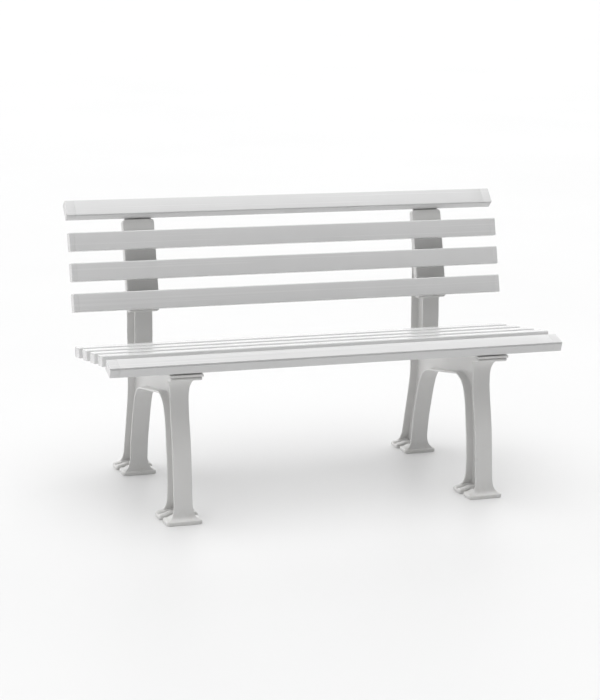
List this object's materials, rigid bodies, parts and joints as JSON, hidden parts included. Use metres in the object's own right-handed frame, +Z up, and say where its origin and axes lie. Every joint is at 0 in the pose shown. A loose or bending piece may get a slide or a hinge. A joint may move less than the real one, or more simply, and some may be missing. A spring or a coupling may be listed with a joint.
{
  "type": "garden bench",
  "caption": "Slatted garden bench with a back: two moulded plastic side frames carry hollow plastic seat and back slats with push-in end caps.",
  "frame": {"origin": "on the ground, under the middle of the bench's bounding box", "axes": "+X along the bench, +Y towards the backrest, +Z up"},
  "size_m": [1.2, 0.5504, 0.7403],
  "materials": {
    "frame_plastic": "white moulded plastic, satin gloss, faint moulding ripple",
    "slat_plastic": "white extruded plastic, glossy, fine draw lines along the length",
    "cap_plastic": "white moulded plastic, satin",
    "screw_steel": "zinc-plated steel, slightly dull"
  },
  "bodies": {
    "root": {"left_side_frame": "frame_plastic", "right_side_frame": "frame_plastic", "seat_front_rail": "slat_plastic", "seat_slat_1": "slat_plastic", "seat_slat_2": "slat_plastic", "seat_slat_3": "slat_plastic", "seat_slat_4": "slat_plastic", "back_slat_1": "slat_plastic", "back_slat_2": "slat_plastic", "back_slat_3": "slat_plastic", "back_top_rail": "slat_plastic", "seat_front_rail_cap_left": "cap_plastic", "seat_front_rail_cap_right": "cap_plastic", "seat_slat_1_cap_left": "cap_plastic", "seat_slat_1_cap_right": "cap_plastic", "seat_slat_2_cap_left": "cap_plastic", "seat_slat_2_cap_right": "cap_plastic", "seat_slat_3_cap_left": "cap_plastic", "seat_slat_3_cap_right": "cap_plastic", "seat_slat_4_cap_left": "cap_plastic", "seat_slat_4_cap_right": "cap_plastic", "back_slat_1_cap_left": "cap_plastic", "back_slat_1_cap_right": "cap_plastic", "back_slat_2_cap_left": "cap_plastic", "back_slat_2_cap_right": "cap_plastic", "back_slat_3_cap_left": "cap_plastic", "back_slat_3_cap_right": "cap_plastic", "back_top_rail_cap_left": "cap_plastic", "back_top_rail_cap_right": "cap_plastic", "seat_front_rail_screw_left": "screw_steel", "seat_front_rail_screw_right": "screw_steel", "seat_slat_1_screw_left": "screw_steel", "seat_slat_1_screw_right": "screw_steel", "seat_slat_2_screw_left": "screw_steel", "seat_slat_2_screw_right": "screw_steel", "seat_slat_3_screw_left": "screw_steel", "seat_slat_3_screw_right": "screw_steel", "seat_slat_4_screw_left": "screw_steel", "seat_slat_4_screw_right": "screw_steel", "back_slat_1_screw_left": "screw_steel", "back_slat_1_screw_right": "screw_steel", "back_slat_2_screw_left": "screw_steel", "back_slat_2_screw_right": "screw_steel", "back_slat_3_screw_left": "screw_steel", "back_slat_3_screw_right": "screw_steel", "back_top_rail_screw_left": "screw_steel", "back_top_rail_screw_right": "screw_steel"}
  },
  "joints": []
}
